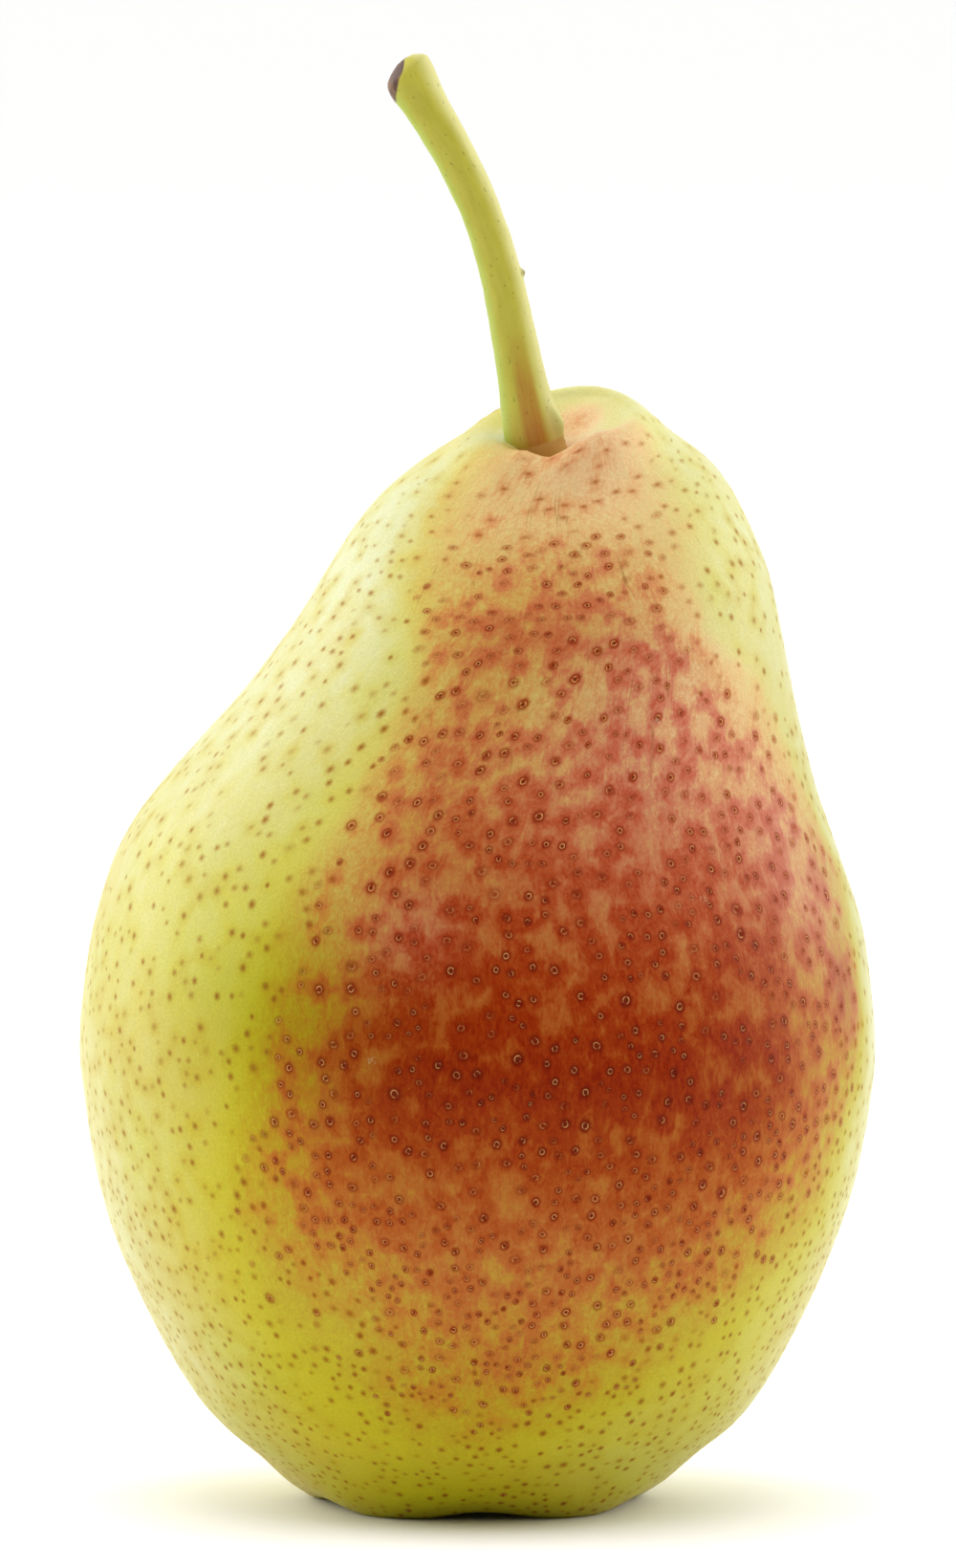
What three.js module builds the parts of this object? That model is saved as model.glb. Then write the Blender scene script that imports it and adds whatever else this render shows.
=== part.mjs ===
// A small red-blushed pear standing on the five low lobes around its calyx.
// Millimetres, +Z up. The origin is on the resting plane, under the middle of the widest section.
// The front of the fruit faces -Y: its neck leans towards +X and its crown is tilted to the front left.
import * as THREE from "three";

// Meridian of the fruit as [radius, height], from the calyx tube under the base, out over the
// resting lobes, up the flank and neck, over the crown and down into the stem's pocket.
const MERIDIAN = [
  [0, 7.2], [1.5, 7.0], [2.2, 6.0], [2.7, 5.0], [4.3, 4.3], [6.8, 2.8], [9.6, 0.8], [12.6, -0.4],
  [15.2, 0.8], [18.3, 3.8], [22.9, 8.3], [27.0, 15.2], [30.6, 24.0], [32.7, 34.0], [32.95, 40.0],
  [31.9, 48.0], [29.6, 55.0], [26.4, 61.0], [23.2, 66.7], [20.4, 72.6], [17.9, 78.5],
  [14.8, 83.4], [10.4, 87.1], [7.6, 88.7], [6.1, 89.0], [5.3, 87.9], [4.2, 86.5], [0, 86.2],
];
const ROWS_PER_SPAN = 2;
const FRUIT_SEGMENTS = 56;
const DEPTH_RATIO = 0.98; // front to back, against side to side

// Lobes: five swellings around the calyx, flattened where they stand on the surface.
const LOBES = 5;
const LOBE_ANGLE = THREE.MathUtils.degToRad(92.5); // one lobe points to the back
const LOBE_RADIUS = 13.0;
const LOBE_SPREAD = 8.5;
const VALLEY_RISE = 1.0;
const LOBE_SWELL = 0.008; // share of the radius, low on the flank

// Neck: it leans to one side, and the crown is tilted, higher at the back right.
const LEAN = { x: 5.4, y: -2.0, from: 53, to: 78 };
const CROWN_TILT = { x: 0.14, y: 0.27, from: 70, to: 88 };
const HUMP = { rise: 1.5, angle: THREE.MathUtils.degToRad(72), width: 1.5, radius: 7.0, spread: 5.5 };

// Pocket: its floor is moved from the middle of the crown to where the stem comes out.
const POCKET = { x: 1.5, y: -1.4, rim: 12.0, floor: 5.5, above: 80 };

// Stem: middle line from the foot to the cut tip, and radius along it as [share of length, radius].
const STEM_LINE = [
  [5.1, -4.3, 87.0], [4.45, -4.9, 89.8], [3.75, -5.4, 93.3], [2.95, -5.7, 97.5], [2.1, -5.9, 101.7],
  [0.75, -6.0, 106.3], [-1.0, -5.9, 110.4], [-2.9, -5.7, 114.0], [-4.4, -5.5, 116.8], [-5.2, -5.4, 120.0],
];
const STEM_RADII = [
  [0, 2.5], [0.08, 2.35], [0.2, 2.0], [0.35, 1.8], [0.55, 1.65], [0.75, 1.72], [0.88, 2.0],
  [0.95, 2.2], [0.985, 2.0], [1, 1.3],
];
const STEM_ROWS = 30;
const STEM_SEGMENTS = 16;
const TIP_OVAL = 0.12; // the cut tip is wider one way, like a small knuckle

// Calyx: the dried remains of the flower in the hollow under the base.
const SEPALS = 5;
const SEPAL = { length: 4.2, width: 2.5, thickness: 0.55, foot: [2.9, 3.9], droop: 0.6, curl: 0.02 };
const STAMENS = 8;
const STAMEN = { length: 3.6, radius: 0.2, head: 0.34, ring: 1.15, top: 6.2, splay: 0.16 };
const CALYX_SEGMENTS = 8;
const CALYX_ROWS = 9;

const { smoothstep, degToRad } = THREE.MathUtils;

function lathe(outline, rows, segments) {
  const points = outline.map(([radius, height]) => new THREE.Vector2(radius, height));
  return new THREE.LatheGeometry(new THREE.SplineCurve(points).getPoints(rows), segments);
}

// Puts each vertex of a lathe, which is turned column by column, at the Vector3 that
// reshape(radius, angle, height) returns, with Z up. The last column closes on the first.
function reshapeLathe(geometry, reshape) {
  const { points, segments } = geometry.parameters;
  const position = geometry.getAttribute("position");
  for (let i = 0; i < position.count; i += 1) {
    const { x: radius, y: height } = points[i % points.length];
    const column = Math.floor(i / points.length) % segments;
    const moved = reshape(radius, (2 * Math.PI * column) / segments, height);
    position.setXYZ(i, moved.x, moved.y, moved.z);
  }
  geometry.computeVertexNormals();
  return geometry;
}

// 1 where the distance is 0, falling smoothly to exactly 0 at the spread.
function bell(distance, spread) {
  return (1 + Math.cos(Math.PI * Math.min(Math.abs(distance) / spread, 1))) / 2;
}

function turnBetween(angle, target) {
  return Math.atan2(Math.sin(angle - target), Math.cos(angle - target));
}

// The one formula of the fruit's skin: a point of the meridian, turned to an angle.
function skinPoint(radius, angle, height) {
  const lobe = Math.cos(LOBES * (angle - LOBE_ANGLE));
  const nearBase = 1 - smoothstep(height, 6, 16);
  const lowFlank = smoothstep(height, 2, 12) * (1 - smoothstep(height, 16, 32));
  const wide = radius * (1 + LOBE_SWELL * lobe * lowFlank);
  const x = wide * Math.cos(angle);
  const y = wide * Math.sin(angle) * DEPTH_RATIO;

  const valley = (VALLEY_RISE / 2) * (1 - lobe) * bell(radius - LOBE_RADIUS, LOBE_SPREAD) * nearBase;
  const crown = smoothstep(height, CROWN_TILT.from, CROWN_TILT.to);
  const hump = HUMP.rise * crown * bell(turnBetween(angle, HUMP.angle), HUMP.width)
    * bell(radius - HUMP.radius, HUMP.spread);
  const lifted = height + valley + hump + crown * (CROWN_TILT.x * x + CROWN_TILT.y * y);

  const lean = smoothstep(height, LEAN.from, LEAN.to);
  const inPocket = height > POCKET.above ? 1 - smoothstep(radius, POCKET.floor, POCKET.rim) : 0;
  return new THREE.Vector3(
    x + LEAN.x * lean + POCKET.x * inPocket,
    y + LEAN.y * lean + POCKET.y * inPocket,
    Math.max(lifted, 0),
  );
}

function fruitGeometry() {
  return reshapeLathe(lathe(MERIDIAN, (MERIDIAN.length - 1) * ROWS_PER_SPAN, FRUIT_SEGMENTS), skinPoint);
}

// A straight turned stem, bent along its middle line.
function stemGeometry() {
  const line = new THREE.CatmullRomCurve3(STEM_LINE.map((point) => new THREE.Vector3(...point)));
  const outline = [[0, 0], ...STEM_RADII.map(([share, radius]) => [radius, share]), [0, 1]];
  const back = new THREE.Vector3(0, 1, 0);
  return reshapeLathe(lathe(outline, STEM_ROWS, STEM_SEGMENTS), (radius, angle, share) => {
    const along = THREE.MathUtils.clamp(share, 0, 1);
    const direction = line.getTangentAt(along);
    const right = back.clone().cross(direction).normalize();
    const behind = direction.clone().cross(right);
    const oval = 1 + TIP_OVAL * smoothstep(along, 0.86, 0.96) * Math.cos(2 * angle);
    return line.getPointAt(along)
      .addScaledVector(right, radius * oval * Math.cos(angle))
      .addScaledVector(behind, (radius / oval) * Math.sin(angle));
  });
}

// A thin pointed blade that starts at the origin, runs outwards along +X and droops.
function sepalGeometry() {
  const half = SEPAL.width / 2;
  const outline = [
    [0, 0], [half * 0.8, 0.15], [half, 1.0], [half * 0.75, 2.1], [half * 0.35, 3.3], [0, SEPAL.length],
  ];
  const flat = SEPAL.thickness / SEPAL.width;
  return reshapeLathe(lathe(outline, CALYX_ROWS, CALYX_SEGMENTS), (radius, angle, along) => new THREE.Vector3(
    along,
    radius * Math.cos(angle),
    radius * Math.sin(angle) * flat - SEPAL.droop * along + SEPAL.curl * along ** 2,
  ));
}

// A filament that hangs from the origin with a small dried head, bent outwards towards +X.
function stamenGeometry(length) {
  const { radius, head, splay } = STAMEN;
  const outline = [
    [0, 0], [head * 0.8, 0.15], [head, 0.5], [radius, 1.0], [radius, length - 0.1], [0, length],
  ];
  return reshapeLathe(lathe(outline, CALYX_ROWS, CALYX_SEGMENTS), (ring, angle, height) => {
    const drop = length - height;
    return new THREE.Vector3(ring * Math.cos(angle) + splay * drop, ring * Math.sin(angle), -drop);
  });
}

const skin = new THREE.MeshStandardMaterial({ color: 0xc9a24a, roughness: 0.42, metalness: 0 });
const stalk = new THREE.MeshStandardMaterial({ color: 0xb4ab3a, roughness: 0.6, metalness: 0 });
const dried = new THREE.MeshStandardMaterial({ color: 0x4a3420, roughness: 0.85, metalness: 0 });

function named(name, geometry, material) {
  const mesh = new THREE.Mesh(geometry, material);
  mesh.name = name;
  return mesh;
}

function makeSepals() {
  const geometry = sepalGeometry();
  const [out, up] = SEPAL.foot;
  return Array.from({ length: SEPALS }, (_, index) => {
    const sepal = named(`sepal_${index + 1}`, geometry, dried);
    const angle = degToRad(360 / SEPALS) * index + LOBE_ANGLE;
    sepal.position.set(out * Math.cos(angle), out * Math.sin(angle), up);
    sepal.rotation.z = angle;
    return sepal;
  });
}

function makeStamens() {
  return Array.from({ length: STAMENS }, (_, index) => {
    const length = STAMEN.length + 0.4 * Math.sin(2.4 * index);
    const stamen = named(`stamen_${index + 1}`, stamenGeometry(length), dried);
    const angle = degToRad(360 / STAMENS) * index;
    stamen.position.set(STAMEN.ring * Math.cos(angle), STAMEN.ring * Math.sin(angle), STAMEN.top);
    stamen.rotation.z = angle;
    return stamen;
  });
}

const pear = new THREE.Group();
pear.add(named("fruit", fruitGeometry(), skin));
pear.add(named("stem", stemGeometry(), stalk));
pear.add(...makeSepals());
pear.add(...makeStamens());

export default pear;
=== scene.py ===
"""A small red-blushed pear on a pale surface: the looks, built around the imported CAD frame."""
import math
import random

import bpy
import numpy as np
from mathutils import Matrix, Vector, kdtree, noise
from mathutils.geometry import delaunay_2d_cdt


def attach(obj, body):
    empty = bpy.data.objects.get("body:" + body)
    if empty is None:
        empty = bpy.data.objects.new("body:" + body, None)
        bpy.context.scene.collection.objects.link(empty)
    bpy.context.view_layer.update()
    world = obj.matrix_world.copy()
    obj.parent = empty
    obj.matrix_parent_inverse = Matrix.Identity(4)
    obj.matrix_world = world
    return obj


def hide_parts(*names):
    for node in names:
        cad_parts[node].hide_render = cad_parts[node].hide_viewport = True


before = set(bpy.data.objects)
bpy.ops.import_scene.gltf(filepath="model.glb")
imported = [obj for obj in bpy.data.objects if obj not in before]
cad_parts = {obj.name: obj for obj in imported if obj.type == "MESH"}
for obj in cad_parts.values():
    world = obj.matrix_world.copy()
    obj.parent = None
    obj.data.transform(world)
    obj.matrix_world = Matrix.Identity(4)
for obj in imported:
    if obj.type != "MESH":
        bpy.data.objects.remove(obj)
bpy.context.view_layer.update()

MM = 0.001

# ---------------------------------------------------------------- driving dimensions, millimetres

# The fruit's meridian as (radius, height), the same line as the CAD fruit's.
MERIDIAN = [
    (0, 7.2), (1.5, 7.0), (2.2, 6.0), (2.7, 5.0), (4.3, 4.3), (6.8, 2.8), (9.6, 0.8), (12.6, -0.4),
    (15.2, 0.8), (18.3, 3.8), (22.9, 8.3), (27.0, 15.2), (30.6, 24.0), (32.7, 34.0), (32.95, 40.0),
    (31.9, 48.0), (29.6, 55.0), (26.4, 61.0), (23.2, 66.7), (20.4, 72.6), (17.9, 78.5),
    (14.8, 83.4), (10.4, 87.1), (7.6, 88.7), (6.1, 89.0), (5.3, 87.9), (4.2, 86.5), (0, 86.2),
]
WIDEST_RADIUS = 33.0
DEPTH_RATIO = 0.98  # front to back, against side to side
MERIDIAN_STEPS = 40
POLE_RADIUS = 0.35  # the rows of points stop this far from the axis, and a fan closes each end
NORMAL_STEP = 0.02

# Five low lobes around the calyx, which the fruit stands on, and which swell the flank above them a little.
LOBES = 5
LOBE_ANGLE = math.radians(92.5)
LOBE_RADIUS = 13.0
LOBE_SPREAD = 8.5
LOBE_FADE = (6, 16)  # the heights between which the lobes die away
VALLEY_RISE = 1.0
LOBE_SWELL = 0.008
SWELL_START = (2, 12)
SWELL_END = (16, 32)

# The neck leans to one side, the crown is tilted, and the stem's pocket lies off its middle.
LEAN = {"x": 5.4, "y": -2.0, "from": 53, "to": 78}
CROWN_TILT = {"x": 0.14, "y": 0.27, "from": 70, "to": 88}
HUMP = {"rise": 1.5, "angle": math.radians(72), "width": 1.5, "radius": 7.0, "spread": 5.5}
POCKET = {"x": 1.5, "y": -1.4, "rim": 12.0, "floor": 5.5, "above": 80}

# The stem's middle line from its foot to its cut end, and its radius as (share of its length, radius).
STEM_LINE = [
    (5.1, -4.3, 87.0), (4.45, -4.9, 89.8), (3.75, -5.4, 93.3), (2.95, -5.7, 97.5), (2.1, -5.9, 101.7),
    (0.75, -6.0, 106.3), (-1.0, -5.9, 110.4), (-2.9, -5.7, 114.0), (-4.5, -5.5, 116.9), (-5.9, -5.4, 119.9),
]
STEM_RADII = [
    (0, 2.5), (0.08, 2.35), (0.2, 2.0), (0.35, 1.8), (0.55, 1.65), (0.75, 1.7), (0.88, 1.85),
    (0.935, 2.0), (0.965, 1.93), (0.985, 1.6), (1, 0.75),
]

# ---------------------------------------------------------------- the photograph's view

PHOTO_WIDTH_PX = 1000
PHOTO_HEIGHT_PX = 1640
MM_PER_PX = 0.0792
AXIS_COLUMN_PX = 499  # the column that the fruit's axis stands on
BASE_ROW_PX = 1571  # the row where the resting plane would cross the axis, with no perspective
CAMERA_DISTANCE = 1200.0
CAMERA_ELEVATION = math.radians(5)

SEED = 7


# ---------------------------------------------------------------- the fruit's surface

def smoothstep(value, low, high):
    """0 at low and beyond, 1 at high and beyond. Low may be the larger of the two."""
    share = np.clip((value - low) / (high - low), 0.0, 1.0)
    return share * share * (3 - 2 * share)


def blend(start, end, share):
    return start + (end - start) * share


def bell(distance, spread):
    """1 where the distance is 0, falling smoothly to exactly 0 at the spread."""
    return (1 + np.cos(np.pi * np.minimum(np.abs(distance) / spread, 1))) / 2


def turn_between(angle, target):
    """The shortest turn from the target to the angle, from -pi to pi."""
    return np.arctan2(np.sin(angle - target), np.cos(angle - target))


def spline(points, steps):
    """A uniform Catmull-Rom line through the points, with that many steps in each span."""
    p = np.array([points[0], *points, points[-1]], float)
    share = (np.arange(steps) / steps)[:, None]
    pieces = []
    for before, start, end, after in zip(p[:-3], p[1:-2], p[2:-1], p[3:]):
        out, into = (end - before) / 2, (after - start) / 2
        pieces.append(
            (2 * start - 2 * end + out + into) * share ** 3
            + (3 * end - 3 * start - 2 * out - into) * share ** 2
            + out * share + start
        )
    return np.vstack([*pieces, p[-1:]])


def skin_point(radius, angle, height):
    """The one formula of the fruit's skin: points of the meridian, turned to an angle."""
    lobe = np.cos(LOBES * (angle - LOBE_ANGLE))
    near_base = 1 - smoothstep(height, *LOBE_FADE)
    low_flank = smoothstep(height, *SWELL_START) * (1 - smoothstep(height, *SWELL_END))
    wide = radius * (1 + LOBE_SWELL * lobe * low_flank)
    x = wide * np.cos(angle)
    y = wide * np.sin(angle) * DEPTH_RATIO
    valley = VALLEY_RISE / 2 * (1 - lobe) * bell(radius - LOBE_RADIUS, LOBE_SPREAD) * near_base
    crown = smoothstep(height, CROWN_TILT["from"], CROWN_TILT["to"])
    hump = (
        HUMP["rise"] * crown * bell(turn_between(angle, HUMP["angle"]), HUMP["width"])
        * bell(radius - HUMP["radius"], HUMP["spread"])
    )
    lifted = height + valley + hump + crown * (CROWN_TILT["x"] * x + CROWN_TILT["y"] * y)
    lean = smoothstep(height, LEAN["from"], LEAN["to"])
    in_pocket = (height > POCKET["above"]) * (1 - smoothstep(radius, POCKET["floor"], POCKET["rim"]))
    return np.stack([
        x + LEAN["x"] * lean + POCKET["x"] * in_pocket,
        y + LEAN["y"] * lean + POCKET["y"] * in_pocket,
        np.maximum(lifted, 0),
    ], axis=-1)


def meridian_table():
    """Radius, height, length and stretched length along the meridian, without its two ends on the axis.
    Against the angle, the stretched length lays the skin out flat with its small shapes kept true."""
    line = spline(MERIDIAN, MERIDIAN_STEPS)
    line = line[line[:, 0] > POLE_RADIUS]
    step = np.hypot(*np.diff(line, axis=0).T)
    middle = (line[1:, 0] + line[:-1, 0]) / 2
    return {
        "radius": line[:, 0],
        "height": line[:, 1],
        "along": np.concatenate([[0], np.cumsum(step)]),
        "flat": np.concatenate([[0], np.cumsum(step / middle)]),
    }


def look_up(table, along, column):
    return np.interp(along, table["along"], table[column])


def skin_at(table, angle, along):
    return skin_point(look_up(table, along, "radius"), angle, look_up(table, along, "height"))


def skin_normal(table, angle, along):
    """Outward normals, from small steps around and along the skin."""
    step = NORMAL_STEP
    turn = step / look_up(table, along, "radius")
    around = skin_at(table, angle + turn, along) - skin_at(table, angle - turn, along)
    upward = skin_at(table, angle, along + step) - skin_at(table, angle, along - step)
    normal = np.cross(around, upward)
    return normal / np.maximum(np.linalg.norm(normal, axis=1, keepdims=True), 1e-9)


def azimuth(angle):
    """Degrees around the fruit from the front, positive towards +X."""
    return np.degrees(turn_between(angle, -math.pi / 2))


# ---------------------------------------------------------------- where the skin's colours lie

# The blush by height: (height in mm, azimuth of its left edge, of its right edge, redness along its middle).
# Redness runs from 0, green skin, to 1, the deepest red. These rows and the softness come from a scratch
# program's fit to the photo, and were partly changed by hand.
BLUSH_ROWS = [
    (3, -12, 0, 0.13), (8, -16, 12, 0.21), (12, -19, 27, 0.29), (18, -19, 39, 0.36), (22, -24, 48, 0.43),
    (26, -29, 54, 0.53), (30, -28, 55, 0.65), (34, -26, 57, 0.8), (38, -24, 59, 0.91), (42, -23, 59, 0.86),
    (46, -21, 60, 0.79), (53, -21, 69, 0.68), (60, -20, 65, 0.53), (65, -20, 59, 0.44), (70, -22, 51, 0.4),
    (74, -26, 38, 0.45), (78, -30, 34, 0.4), (84, -38, 44, 0.28), (87, -54, 58, 0.23), (89, -64, 70, 0.23),
]
BLUSH_SOFTNESS = {"left": 20.0, "right": 23.0}  # half the width of its fading edges, in degrees
# Where the fading edges grow wider or narrower, as (height where it starts, height where it is full, change).
SOFTNESS_CHANGES = [(52, 60, -0.35), (72, 86, 1.25), (40, 20, 0.35)]
# Patches of the skin as (azimuth, height, half width in degrees, half height in mm, strength). The first six
# pale ones and the rosy ones at azimuths 36, 19, -27 and -9.5 come from such a fit too.
BLUSH_PATCHES = [
    (67.5, 44, 5, 4, 0.42), (50, 61, 12, 10, -0.04), (62, 66, 9, 7, 0.1), (70, 54, 8, 6, 0.07),
    (-33, 19, 8, 5, 0.07), (28, 59, 9, 5, 0.11), (22, 67, 8, 4, 0.06), (1, 67, 8, 5, -0.09),
    (34, 51, 9, 5, -0.05),
]
# Pale patches: partly paler skin, partly a painted highlight on the sides and edges that the softboxes light.
PALE_AND_SHEEN_PATCHES = [
    (-64, 69, 44, 18, 0.67), (71, 81, 59, 28, 0.6), (-77, 23, 22, 22, 0.52), (103, 12, 41, 39, 0.41),
    (-167, 46, 69, 60, 0.53), (-72, 85, 32, 7, 0.62), (-45, 80, 16, 10, 0.12), (86, 41, 15, 22, 0.55),
    (-50, 38, 16, 14, 0.1), (37, 8, 22, 6, 0.14), (-53, 12, 14, 6, 0.16), (150, 90, 50, 6, 0.3),
]
# Rosy patches: partly rosier skin, partly painted sheen where the soft lights wash out the blush; the one at
# -9.5 is a painted soft highlight.
ROSY_AND_SHEEN_PATCHES = [
    (36, 66, 36, 16, 0.98), (62, 54, 12, 8, 0.6), (19, 92, 80, 9, 1.0), (-27, 72, 22, 15, 0.28),
    (-9.5, 50, 8, 4, 0.45), (10, 22, 50, 9, 0.15), (-22, 55, 10, 7, 0.15),
]
# Dusky patches: a duller tone beside the blush on the left, and painted shade on the right flank and at the
# bottom by the floor.
DUSKY_AND_SHADE_PATCHES = [(-27, 43, 18, 8, 1.0), (70, 52, 18, 18, 0.6), (0, 6, 70, 14, 0.35)]


def stations(height, rows, column):
    """A column of the rows at each height, or at each angle, on straight lines between them."""
    return np.interp(height, [row[0] for row in rows], [row[column] for row in rows])


def patches(degrees, height, rows):
    """The sum of soft round patches of the skin."""
    total = np.zeros_like(degrees)
    for middle, level, half_width, half_height, strength in rows:
        across = (degrees - middle + 180) % 360 - 180
        total += strength * np.exp(-(across / half_width) ** 2 - ((height - level) / half_height) ** 2)
    return total


def blush_share(angle, height):
    degrees = azimuth(angle)
    spread = 1 + sum(change * smoothstep(height, start, full) for start, full, change in SOFTNESS_CHANGES)
    soft_left = BLUSH_SOFTNESS["left"] * spread
    soft_right = BLUSH_SOFTNESS["right"] * spread
    left = smoothstep(degrees - stations(height, BLUSH_ROWS, 1), -soft_left, soft_left)
    right = smoothstep(stations(height, BLUSH_ROWS, 2) - degrees, -soft_right, soft_right)
    return left * right * stations(height, BLUSH_ROWS, 3) + patches(degrees, height, BLUSH_PATCHES)


# ---------------------------------------------------------------- lenticels, the skin's corky pores

# How many there are to a square millimetre, by height.
LENTICEL_DENSITY = [
    (0, 0.7), (10, 0.74), (18, 0.64), (28, 0.45), (45, 0.33), (68, 0.32), (84, 0.36), (88, 0.28),
]
LENTICEL_TRIES = 1.35  # how many places are tried for each one wanted
LENTICEL_GAP = 0.62  # the least distance between two, as a share of the mean one
LENTICEL_PAIRS = 0.07  # the share of them that may sit closer
LENTICEL_CLOSEST = 0.75
LENTICEL_FREE = {"calyx": 4.5, "pocket": 6.8}  # there are none within these radii
LENTICEL_SIZE = {"spread": 0.16, "least": 0.65, "most": 1.45, "at_base": 0.78, "heights": (6, 28)}
BACK_SIZE = 0.6  # the size of plain lenticels at the back, against those at the front
BACK_TONE = 0.3
FRONT = {"azimuth": 10, "spread": 75}
RINGED_ABOVE = {"blush": 0.2, "blur": 0.06, "crown": 0.65}  # redder skin has ringed ones, but not the crown
CROWN = (80, 87)  # the heights between which the flank turns into the crown
CROWN_STRETCH = 0.35  # lenticels on the crown are drawn out around the stem
HALO_RADIUS = 0.71
PLAIN_HALO_RADIUS = 0.66
HALO_ROOM = 0.48  # a halo's largest radius, as a share of the distance to the nearest lenticel
HALO_OVAL = 0.08
CLOUD_REACH = (0.45, 1.7)  # the skin around a lenticel reddens first: fully up to here, not at all past there
# The circles of points around a lenticel's centre as (share of the halo's radius, points, relief in mm).
RINGED = [(0.2, 5, -0.02), (0.42, 9, 0.035), (1.0, 8, 0)]
PLAIN = [(0.4, 5, 0.012), (1.0, 6, 0)]
RINGED_CENTRE = -0.045
PLAIN_CENTRE = 0.02
# The distance between the skin's plain points: smaller where it folds, at the crown and the calyx.
SKIN_GAP = {"flank": 1.02, "neck": 0.8, "crown": 0.4, "calyx": 0.5}
CROWN_RADIUS = 11
CALYX_RADIUS = 9
CALYX_HEIGHT = 8
ROW_STEP = 0.87  # from row to row, as a share of that distance
SEAM_MARGIN = 5.0  # how far the skin is repeated past its seam, in mm


def tree_of(places):
    """The places, ready to be searched for the nearest."""
    tree = kdtree.KDTree(len(places))
    for index, place in enumerate(places):
        tree.insert(place, index)
    tree.balance()
    return tree


def scatter_lenticels(table):
    """Angle and length along the meridian of each lenticel: random, kept apart, with a few close pairs."""
    rng = np.random.default_rng(SEED)
    area = np.cumsum(table["radius"] * np.gradient(table["along"])) * 2 * math.pi
    densest = max(row[1] for row in LENTICEL_DENSITY)
    tries = int(area[-1] * densest * LENTICEL_TRIES)
    along = np.interp(rng.random(tries) * area[-1], area, table["along"])
    angle = rng.random(tries) * 2 * math.pi
    height = look_up(table, along, "height")
    radius = look_up(table, along, "radius")
    density = stations(height, LENTICEL_DENSITY, 1)
    inside = radius < np.where(height > POCKET["above"], LENTICEL_FREE["pocket"], LENTICEL_FREE["calyx"])
    wanted = (rng.random(tries) < density / densest) & ~inside
    gap = LENTICEL_GAP / np.sqrt(density)
    gap[rng.random(tries) < LENTICEL_PAIRS] = LENTICEL_CLOSEST
    places = skin_at(table, angle, along)
    cells = {}
    kept = []
    for index in np.flatnonzero(wanted):
        place = places[index]
        home = tuple(np.floor(place / 2).astype(int))
        near = (
            other for dx in (-1, 0, 1) for dy in (-1, 0, 1) for dz in (-1, 0, 1)
            for other in cells.get((home[0] + dx, home[1] + dy, home[2] + dz), ())
        )
        if all(math.dist(place, places[other]) > gap[index] for other in near):
            cells.setdefault(home, []).append(index)
            kept.append(index)
    return angle[kept], along[kept]


def lenticel_points(table, angle, along):
    """The circles of points of every lenticel, as columns of the skin's point table."""
    rng = np.random.default_rng(SEED + 1)
    places = skin_at(table, angle, along)
    tree = tree_of(places)
    nearest = np.array([tree.find_n(place, 2)[1][2] for place in places])
    height = look_up(table, along, "height")
    blush = blush_share(angle, height)
    crown = smoothstep(height, *CROWN)
    blurred = blush + rng.normal(0, RINGED_ABOVE["blur"], len(angle))
    ringed = (blurred > RINGED_ABOVE["blush"]) & (crown < RINGED_ABOVE["crown"])
    size = rng.normal(1, LENTICEL_SIZE["spread"], len(angle))
    size = np.clip(size, LENTICEL_SIZE["least"], LENTICEL_SIZE["most"])
    size *= blend(LENTICEL_SIZE["at_base"], 1, smoothstep(height, *LENTICEL_SIZE["heights"]))
    facing = np.exp(-((azimuth(angle) - FRONT["azimuth"]) / FRONT["spread"]) ** 2)
    size *= np.where(ringed, 1, blend(BACK_SIZE, 1, facing))
    halo = np.minimum(size * np.where(ringed, HALO_RADIUS, PLAIN_HALO_RADIUS), HALO_ROOM * nearest)
    tone = rng.random(len(angle)) * blend(BACK_TONE, 1, facing) * (1 - 0.2 * crown)
    rows = []
    for i in range(len(angle)):
        circles = RINGED if ringed[i] else PLAIN
        radius = look_up(table, along[i], "radius")
        fixed = (float(ringed[i]), tone[i], size[i])
        rows.append((angle[i], along[i], 0.0, RINGED_CENTRE if ringed[i] else PLAIN_CENTRE, *fixed))
        for share, count, relief in circles:
            start = rng.random()
            for step in range(count):
                turn = 2 * math.pi * (step + start) / count
                out = share * halo[i] * (1 + HALO_OVAL * math.sin(2 * turn + 6 * tone[i]))
                rows.append((
                    angle[i] + out * math.cos(turn) * (1 + CROWN_STRETCH * crown[i]) / radius,
                    along[i] + out * math.sin(turn) * (1 - CROWN_STRETCH * crown[i]),
                    share, relief, *fixed,
                ))
    return np.array(rows), places, halo


def skin_gap(table, along):
    height = look_up(table, along, "height")
    radius = look_up(table, along, "radius")
    if height > POCKET["above"]:
        return SKIN_GAP["crown" if radius < CROWN_RADIUS else "neck"]
    return SKIN_GAP["calyx" if height < CALYX_HEIGHT and radius < CALYX_RADIUS else "flank"]


def plain_points(table, lenticels, halo):
    """Rows of points that fill the skin between the lenticels."""
    rng = np.random.default_rng(SEED + 2)
    tree = tree_of(lenticels)
    length = table["along"][-1]
    rows = []
    at = 0.0
    while at < length:
        gap = skin_gap(table, at)
        count = max(6, round(2 * math.pi * look_up(table, at, "radius") / gap))
        turns = (np.arange(count) + rng.random() + rng.uniform(-0.15, 0.15, count)) / count
        rows.append(np.stack([2 * math.pi * turns, np.full(count, at)], axis=1))
        at += ROW_STEP * gap
    rows.append(np.stack([2 * math.pi * np.arange(6) / 6, np.full(6, length)], axis=1))
    points = np.vstack(rows)
    edge = (points[:, 1] == 0) | (points[:, 1] == length)
    places = skin_at(table, points[:, 0], points[:, 1])
    clear = []
    for place, on_edge, along in zip(places, edge, points[:, 1]):
        _, index, distance = tree.find(place)
        clear.append(on_edge or distance > halo[index] + 0.3 * skin_gap(table, along))
    points = points[np.array(clear)]
    no_lenticel = {"share": 1.0, "relief": 0.0, "ringed": 0.0, "tone": 0.5, "size": 1.0}
    return np.hstack([points, np.tile(list(no_lenticel.values()), (len(points), 1))])


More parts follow.
